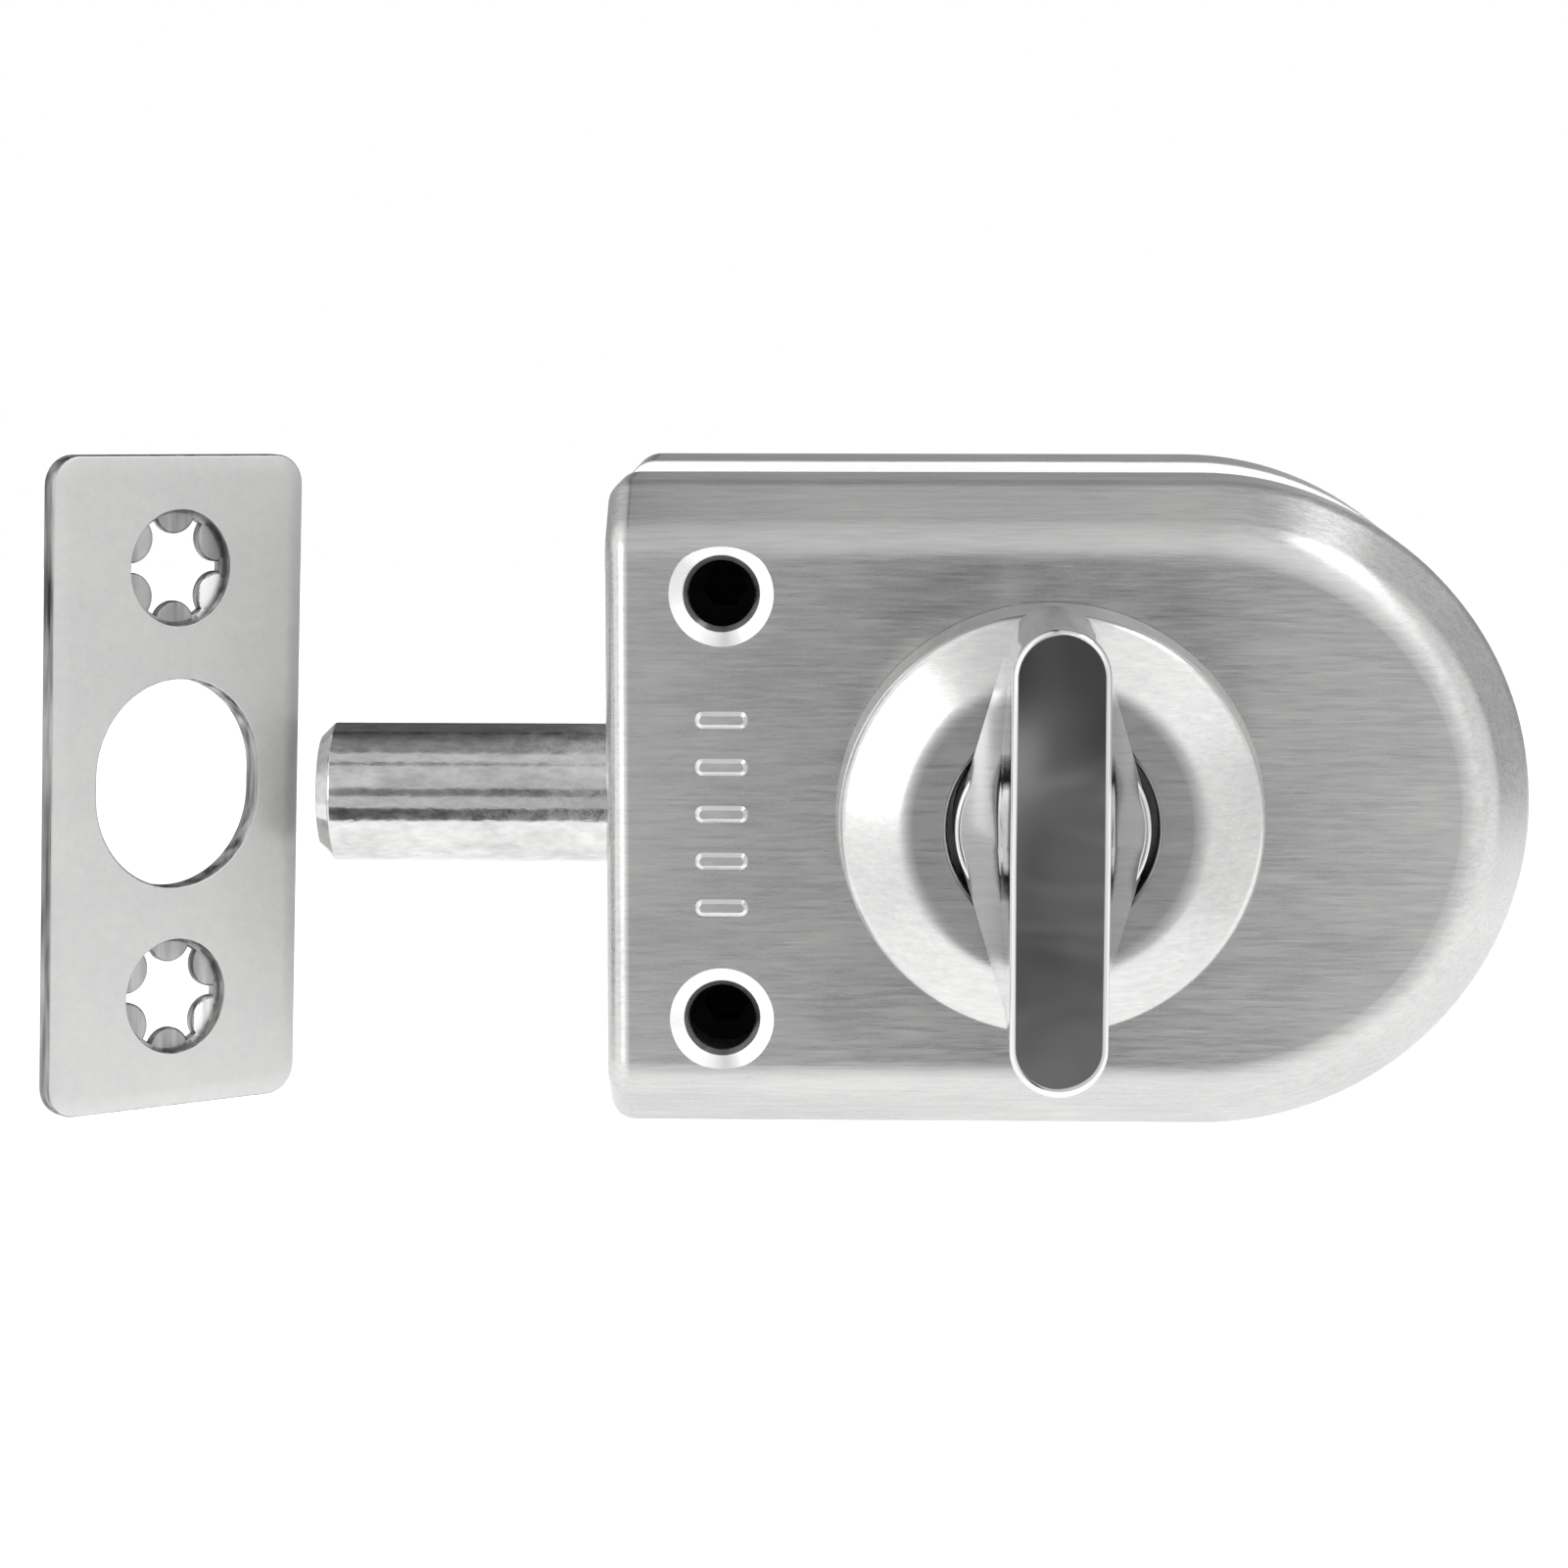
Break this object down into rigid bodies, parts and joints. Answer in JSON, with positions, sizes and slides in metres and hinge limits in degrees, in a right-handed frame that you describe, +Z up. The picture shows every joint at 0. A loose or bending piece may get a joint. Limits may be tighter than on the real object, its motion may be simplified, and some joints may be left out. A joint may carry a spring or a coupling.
{
  "type": "glass door lock",
  "caption": "Clamp-on bolt lock for the edge of a frameless glass door: bevelled front case with thumbturn and round bolt, rear case across a glass slot, and a separate strike plate.",
  "frame": {"origin": "on the thumbturn's axis, at the face of the rear gasket that touches the glass", "axes": "+X from the bolt end to the half-round end, +Y from the thumbturn to the back, +Z up"},
  "size_m": [0.1132, 0.063, 0.0524],
  "materials": {
    "brushed_case": "fine horizontal brushing",
    "rosette_steel": "turned, fine",
    "polished_knob": "polished",
    "bolt_steel": "drawn, semi-bright",
    "strike_steel": "satin",
    "frame_steel": "mill",
    "screw_steel": "dark zinc",
    "bush_brass": "turned",
    "black_rubber": "matt",
    "pale_rubber": "matt, translucent white"
  },
  "bodies": {
    "case": {"front_cover": "brushed_case", "rosette": "rosette_steel", "spindle_bush": "bush_brass", "bush_nut": "bush_brass", "frame": "frame_steel", "bolt_guide": "bush_brass", "guide_screws": "screw_steel", "guide_post": "frame_steel", "weld_nuts": "screw_steel", "cover_screws": "screw_steel", "rear_cover_screws": "screw_steel", "case_gasket": "black_rubber", "edge_gasket": "black_rubber", "rear_gasket": "pale_rubber", "rear_cover": "brushed_case", "strike_plate": "strike_steel"},
    "thumbturn": {"knob": "polished_knob", "spindle": "frame_steel", "crank": "frame_steel", "drive_pin": "frame_steel", "spindle_clip": "screw_steel", "wave_washer": "frame_steel"},
    "bolt": {"bolt_rod": "bolt_steel", "carriage": "frame_steel", "carriage_rivets": "screw_steel"},
    "clamp": {"set_screws": "screw_steel", "pressure_plate": "frame_steel", "pressure_pad": "black_rubber"}
  },
  "joints": [
    {"name": "knob_turn", "type": "hinge", "parent": "case", "child": "thumbturn", "pos_m": [0, -0.034, 0], "axis": [0, 1, 0], "range_deg": [0, 90]},
    {"name": "bolt_slide", "type": "slide", "parent": "case", "child": "bolt", "axis": [1, 0, 0], "range_m": [0, 0.02261]},
    {"name": "clamp_slide", "type": "slide", "parent": "case", "child": "clamp", "axis": [0, 1, 0], "range_m": [0, 0.002]}
  ],
  "couplings": [
    {"joint": "bolt_slide", "follows": "knob_turn", "m_per_rad": 0.014395}
  ]
}
